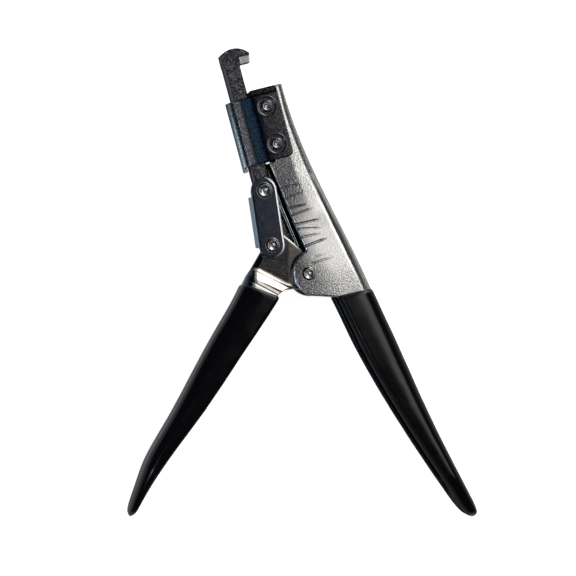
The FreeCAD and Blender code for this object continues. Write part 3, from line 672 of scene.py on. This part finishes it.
def grip_piece(name, stations, mouth, bend, seed):
    """Vinyl dip: a folded loop swept down the handle, rolled in at its mouth and closed at its tip."""
    mouth = np.array(mouth, float)
    lines = [smooth_line([station[k] for station in stations], 400) for k in (0, 1)]
    starts = [crossing(line, mouth[0], mouth[1] - mouth[0]) for line in lines]
    spine, edge = [resampled(line, start, GRIP_ROWS) for line, start in zip(lines, starts)]
    steps = np.linalg.norm(np.diff((spine + edge) / 2, axis=0), axis=1)
    run = np.concatenate([[0], np.cumsum(steps)])
    points = []
    for back, front, down in zip(spine, edge, run):
        width = np.linalg.norm(front - back)
        way = (front - back) / width
        left = run[-1] - down
        half = HALF - TAPER * np.clip(1 - left / TAPER_RUN, 0, 1) ** 1.3
        tip = math.sqrt(max(1 - max(1 - left / TIP_RUN, 0) ** 2, 0.0004))
        inset = ROLL * max(1 - down / ROLL_RUN, 0) ** 2
        deep = np.clip((left - GROOVE_START) / GROOVE_RUN, 0, 1) ** 0.5
        groove = max((width - WALL) * deep + LEAST_GROOVE, LEAST_GROOVE)
        loop = grip_loop(width, half, bend, groove, inset)
        middle = width * 0.55
        across = middle + (loop[:, 0] - middle) * tip
        height = loop[:, 1] * (0.35 + 0.65 * tip) * tip
        points += [(*(back + way * a), z) for a, z in zip(across, height)]
    size = len(loop)
    faces = rows_of_faces(GRIP_ROWS, size)
    faces.append(tuple(range(size)))
    faces.append(tuple(len(points) - size + i for i in range(size)))
    piece = from_points(name, points, faces)
    ease = piece.modifiers.new("ease", "SMOOTH")
    ease.factor = 0.5
    ease.iterations = 2
    finer = piece.modifiers.new("finer", "SUBSURF")
    finer.levels = finer.render_levels = 1
    applied(piece)

    def sag(x, y, z, normals):
        depth, size = 0.07, 9.0
        places = zip(x / size + seed, y / size, z / size)
        return np.array([depth * noise.noise(Vector(place)) for place in places])

    shift_points(piece, sag)
    return piece


frame_grip = grip_piece("fixed_handle_dip", FRAME_GRIP, [(8.0, -9.3), (27.4, -5.0)], 5.4, 3.0)
place(frame_grip, "frame_handle", "body_grip", slot="grip_vinyl", look=vinyl_right)
lever_dip = grip_piece("lever_dip", LEVER_GRIP, [(-26.0, -3.4), (-10.0, -9.1)], 5.0, 11.0)
place(lever_dip, "lever", "lever_grip", slot="grip_vinyl", look=vinyl_left)


# ---- rivets --------------------------------------------------------------------------
def head_profile(seat, top, flange, crown):
    """A spun head from its middle out: pip, bowl, crown, groove, rolled flange, down to its seat."""
    return [(0.0, top - 0.26), (0.4, top - 0.28), (0.58, top - 0.48), (0.95, top - 0.50),
            (crown - 0.85, top - 0.34), (crown - 0.3, top), (crown - 0.08, top), (crown + 0.05, top - 0.2),
            (crown + 0.15, seat + 0.15), (flange - 0.55, seat + 0.15), (flange - 0.45, seat + 0.5),
            (flange - 0.25, seat + 0.62), (flange - 0.08, seat + 0.5), (flange, seat + 0.2), (flange, seat)]


def riveted(name, node, front, back, shank, corner=0.12):
    """A pin with a head at each end: front from the top down, back mirrored below."""
    high, low = front[-1][1], -back[-1][1]
    middle = [(shank + corner, high), (shank, high - corner), (shank, low + corner), (shank + corner, low)]
    mirrored = [(radius, -z) for radius, z in reversed(back)]
    return turned(name, xy_of(node), front + middle + mirrored)


def ringed(piece, node, inner, outer, look):
    """The faces between two radii about the pin's axis get a look of their own."""
    piece.data.materials.append(look)
    cx, cy = xy_of(node)
    for face in piece.data.polygons:
        middle = face.center / MM
        if inner < math.hypot(middle.x - cx, middle.y - cy) < outer:
            face.material_index = len(piece.data.materials) - 1


LINK_SEAT, LINK_TOP = 4.62, 6.10       # under and over the heads on the link
for node, name, crown, flange, shank, body_name in (
        ("link_rivet_upper", "upper_link_pin", 2.45, 3.3, 1.2, "punch"),
        ("link_rivet_lower", "lower_link_pin", 2.15, 3.0, 1.4, "lever")):
    head = head_profile(LINK_SEAT, LINK_TOP, flange, crown)
    pin = place(riveted(name, node, head, head, shank), body_name, node, slot="rivet_dark", look=rivet_dark)
    ringed(pin, node, crown + 0.02, flange - 0.5, groove_black)
    # Painted highlight: the rolled flange ring takes the brighter steel.
    ringed(pin, node, flange - 0.5, flange + 0.1, rivet_bright)

WALL_SEAT = 5.8                        # on the frame's own wall
hollow = head_profile(WALL_SEAT, HALF, 2.9, 2.1)
flush = [(0.0, HALF), (2.2, HALF), (2.75, HALF - 0.1), (3.0, HALF - 0.45), (3.0, WALL_SEAT - 0.05)]
pivot = riveted("pivot_pin", "main_pivot_rivet", hollow, flush, 2.4)
place(pivot, "frame_handle", "main_pivot_rivet", slot="rivet_bright", look=rivet_bright)
ringed(pivot, "main_pivot_rivet", 2.1, 2.5, groove_black)

# A guide rivet's head as (radius, depth below its top): dimple, crown, dish, rim, and its seat.
DIMPLED = [(0.0, 0.72), (0.45, 0.7), (0.7, 0.62), (1.3, 0.1), (1.5, 0.0), (1.9, 0.02), (2.15, 0.15),
           (2.4, 0.32), (3.5, 0.3), (3.72, 0.12), (4.05, 0.10), (4.3, 0.18), (4.3, 0.35)]
dimpled = [(radius, HALF - depth) for radius, depth in DIMPLED]
for node in ("guide_rivet_upper", "guide_rivet_lower"):
    pin = riveted(node + "_pin", node, dimpled, dimpled, 2.0)
    place(pin, "frame_handle", node, slot="rivet_dark", look=rivet_blued)
    # Painted highlight: the dimple and crown take the lighter steel.
    ringed(pin, node, 0.0, 1.65, rivet_dark)


# ---- inner pieces --------------------------------------------------------------------
def collar(name, node, inner, outer, body_name, sides=64, edge=0.15):
    """A ring of its CAD node's height with bevelled edges."""
    low, high = (c.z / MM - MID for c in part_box(node))
    line = [(inner, low + edge), (inner + edge, low), (outer - edge, low), (outer, low + edge),
            (outer, high - edge), (outer - edge, high), (inner + edge, high), (inner, high - edge)]
    piece = from_points(name, ring_points(xy_of(node), line, sides), rows_of_faces(len(line), sides, True))
    place(piece, body_name, node, slot="rivet_bright", look=rivet_bright)


collar("bush", "pivot_bush", 2.4, 3.4, "frame_handle")
collar("front_washer", "thrust_washer_front", 3.42, 6.3, "frame_handle")
collar("back_washer", "thrust_washer_back", 3.42, 6.3, "frame_handle")
collar("nose_sleeve", "nose_spacer", 1.6, 2.9, "lever")

WIRE, COIL = 0.4, 4.35        # radius of the spring's wire and of its coil
TURNS, COIL_HALF = 2, 1.0     # and the coil's turns and half height
LEVER_FOOT = (-21.9, -2.2)    # where its legs end, on the two folded spines
FRAME_FOOT = (23.0, -3.4)


def straight(start, end, count):
    """Points from start toward end, without end."""
    start, end = np.array(start), np.array(end)
    return [tuple(start + (end - start) * i / count) for i in range(count)]


def spring_line():
    """Leg on the lever's spine, two turns round the bush, leg on the frame's spine."""
    start, steps, leg = math.radians(-95), 96, 8
    coil = []
    for i in range(steps + 1):
        angle = start + 2 * math.pi * TURNS * i / steps
        height = COIL_HALF * (2 * i / steps - 1)
        coil.append((COIL * math.cos(angle), COIL * math.sin(angle), height))
    first = straight((*LEVER_FOOT, -COIL_HALF), coil[0], leg)
    last = straight((*FRAME_FOOT, COIL_HALF), coil[-1], leg)
    return first + coil + last[::-1]


def tube(name, line, radius):
    curve = bpy.data.curves.new(name, "CURVE")
    curve.dimensions = "3D"
    curve.bevel_depth = radius * MM
    curve.bevel_resolution = 4
    curve.use_fill_caps = True
    spline = curve.splines.new("POLY")
    spline.points.add(len(line) - 1)
    for point, (x, y, z) in zip(spline.points, line):
        point.co = (x * MM, y * MM, (z + MID) * MM, 1)
    made = new_object(name, curve)
    graph = bpy.context.evaluated_depsgraph_get()
    mesh = bpy.data.meshes.new_from_object(made.evaluated_get(graph))
    bpy.data.objects.remove(made)
    mesh.shade_smooth()
    return new_object(name, mesh)


spring = tube("torsion_spring", spring_line(), WIRE)
spring.data.materials.append(wire)
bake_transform(spring)
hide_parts("return_spring")


# ---- stage ---------------------------------------------------------------------------
def floor():
    """Pale table: white to look at, but no brighter than a grey card in the metal's reflections."""
    half, below, glow_strength = 3.0, -0.1 * MM, 0.93
    corners = [(-half, -half, below), (half, -half, below), (half, half, below), (-half, half, below)]
    mesh = bpy.data.meshes.new("floor")
    mesh.from_pydata(corners, [], [(0, 1, 2, 3)])
    ground = new_object("floor", mesh)
    look = Look("pale_floor")
    look.set(colour=(0.66, 0.66, 0.66), rough=0.9, specular=0.0)
    glow = look.node("ShaderNodeEmission")
    glow.inputs["Strength"].default_value = glow_strength
    both = look.node("ShaderNodeAddShader")
    pick = look.node("ShaderNodeMixShader")
    seen = look.node("ShaderNodeLightPath").outputs["Is Camera Ray"]
    look.link(look.shader.outputs[0], both.inputs[0])
    look.link(glow.outputs[0], both.inputs[1])
    look.link(seen, pick.inputs[0])
    look.link(look.shader.outputs[0], pick.inputs[1])
    look.link(both.outputs[0], pick.inputs[2])
    look.link(pick.outputs[0], look.tree.nodes["Material Output"].inputs["Surface"])
    mesh.materials.append(look.material)


def softbox(name, where, size, power, colour=(1, 1, 1)):
    """A square lamp aimed at the tool's pivot. Glossy surfaces mirror the surroundings instead of it."""
    lamp = bpy.data.lights.new(name, "AREA")
    lamp.shape = "SQUARE"
    lamp.size = size
    lamp.energy = power
    lamp.color = colour
    made = new_object(name, lamp)
    made.location = where
    made.rotation_euler = (-Vector(where)).to_track_quat("-Z", "Y").to_euler()
    made.visible_glossy = False


class Sky:
    """The studio, as brightness by direction."""

    def __init__(self, name, base):
        world = bpy.data.worlds.new(name)
        scene.world = world
        world.use_nodes = True
        self.base = base
        self.tree = world.node_tree
        self.shade = self.tree.nodes["Background"]
        self.axes = self.node("ShaderNodeSeparateXYZ")
        self.where = self.node("ShaderNodeTexCoord").outputs["Generated"]
        self.tree.links.new(self.where, self.axes.inputs[0])

    def node(self, kind, **values):
        made = self.tree.nodes.new(kind)
        for key, value in values.items():
            setattr(made, key, value)
        return made

    def rise(self, value, start, end, low=0.0, high=1.0):
        """Goes smoothly from low to high as the value goes from start to end."""
        made = self.node("ShaderNodeMapRange", interpolation_type="SMOOTHSTEP")
        for key, number in zip(("From Min", "From Max", "To Min", "To Max"), (start, end, low, high)):
            made.inputs[key].default_value = number
        self.tree.links.new(value, made.inputs["Value"])
        return made.outputs["Result"]

    def step(self, axis, *limits):
        """A rise with one part of the direction."""
        return self.rise(self.axes.outputs[axis], *limits)

    def band(self, axis, start, full, last, end):
        """1 between two values of one part of the direction, with a soft edge on both sides."""
        return self.times(self.step(axis, start, full), self.step(axis, last, end, 1.0, 0.0))

    def toward(self, way, *limits):
        """A rise with the direction's share along a way of its own."""
        made = self.node("ShaderNodeVectorMath", operation="DOT_PRODUCT")
        made.inputs[1].default_value = Vector(way).normalized()
        self.tree.links.new(self.where, made.inputs[0])
        return self.rise(made.outputs["Value"], *limits)

    def times(self, *parts):
        result = parts[0]
        for part in parts[1:]:
            made = self.node("ShaderNodeMath", operation="MULTIPLY")
            self.tree.links.new(result, made.inputs[0])
            self.tree.links.new(part, made.inputs[1])
            result = made.outputs[0]
        return result

    def light(self, colour, *parts):
        """Adds a light of this colour where all the parts are 1."""
        made = self.node("ShaderNodeMix", data_type="RGBA", blend_type="ADD", clamp_factor=False)
        made.inputs[7].default_value = (*colour, 1)
        self.tree.links.new(self.times(*parts), made.inputs[0])
        before = self.shade.inputs["Color"].links
        if before:
            self.tree.links.new(before[0].from_socket, made.inputs[6])
        else:
            made.inputs[6].default_value = (*self.base, 1)
        self.tree.links.new(made.outputs[2], self.shade.inputs["Color"])


def surroundings():
    """A soft bank and a bright card to the right, dim horizons, a small blue card, and dark between them."""
    sky = Sky("studio", (0.035, 0.035, 0.04))
    sky.light((0.82, 0.81, 0.79), sky.band("X", 0.19, 0.32, 0.56, 0.65), sky.step("Y", -0.08, 0.0))
    sky.light((1.1, 1.09, 1.07), sky.band("X", 0.31, 0.38, 0.56, 0.65), sky.step("Y", -0.10, 0.0))
    sky.light((0.34, 0.34, 0.31), sky.step("X", 0.84, 0.98))
    sky.light((1.5, 1.49, 1.46), sky.toward((0.7, 0.7, 0), 0.60, 0.75), sky.step("Y", 0.42, 0.52),
              sky.step("X", 0.30, 0.45))
    sky.light((0.4, 0.4, 0.39), sky.toward((-0.4, 0.9, 0), 0.28, 0.45), sky.step("X", -0.2, 0.1))
    sky.light((0.30, 0.30, 0.31), sky.step("Y", -0.45, -0.70), sky.step("Z", 0.60, 0.40))
    sky.light((0.20, 0.21, 0.23), sky.step("X", -0.82, -0.97))
    sky.light((0.30, 0.30, 0.30), sky.step("Y", 0.85, 0.97))
    sky.light((4.0, 4.8, 6.2), sky.step("Y", -0.02, -0.06), sky.step("Y", -0.25, -0.15),
              sky.band("X", -0.20, -0.15, -0.06, -0.02), sky.step("Z", 0.8, 0.9))


def camera():
    """From 13 degrees to the tool's left, looking at the middle of it."""
    turn = math.radians(13)
    away = 0.62
    aim = Vector((-6.96, -5.67, MID)) * MM
    lens = bpy.data.cameras.new("view")
    lens.angle = math.radians(21.052)
    lens.clip_start = 0.01
    made = new_object("view", lens)
    made.location = aim + Vector((-math.sin(turn), 0, math.cos(turn))) * away
    made.rotation_euler = (0, -turn, 0)
    scene.camera = made


floor()
surroundings()
softbox("key", (0.75, 0.75, 0.95), 0.6, 9)
softbox("fill", (-1.0, 0.15, 0.65), 0.5, 5, (0.85, 0.94, 1.0))
camera()
scene.view_settings.view_transform = "Standard"
